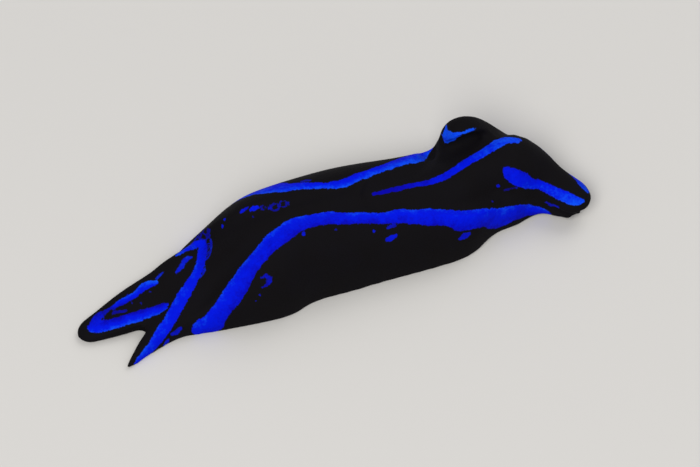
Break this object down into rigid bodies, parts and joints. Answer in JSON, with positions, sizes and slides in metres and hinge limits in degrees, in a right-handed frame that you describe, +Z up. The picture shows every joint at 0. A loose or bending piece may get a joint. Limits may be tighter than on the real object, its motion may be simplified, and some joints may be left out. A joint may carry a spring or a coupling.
{
  "type": "blue velvet headshield slug",
  "caption": "Still life-size model of a black and blue headshield sea slug, crawling with its head turned right, one side lobe raised and two tail lobes behind.",
  "frame": {"origin": "centre of the bounding box's base, on the floor under the animal's back", "axes": "+X towards the head, +Y to the animal's left, +Z up from the floor"},
  "size_m": [0.0484, 0.014, 0.0084],
  "materials": {
    "skin": "matt velvet black with blue lines",
    "under_skin": "matt black, plain"
  },
  "bodies": {
    "root": {"foot": "under_skin", "head": "under_skin", "headshield": "skin", "parapodium_left": "skin", "parapodium_right": "skin", "posterior_shield": "skin", "tail_lobe_left": "skin", "tail_lobe_right": "skin"}
  },
  "joints": []
}
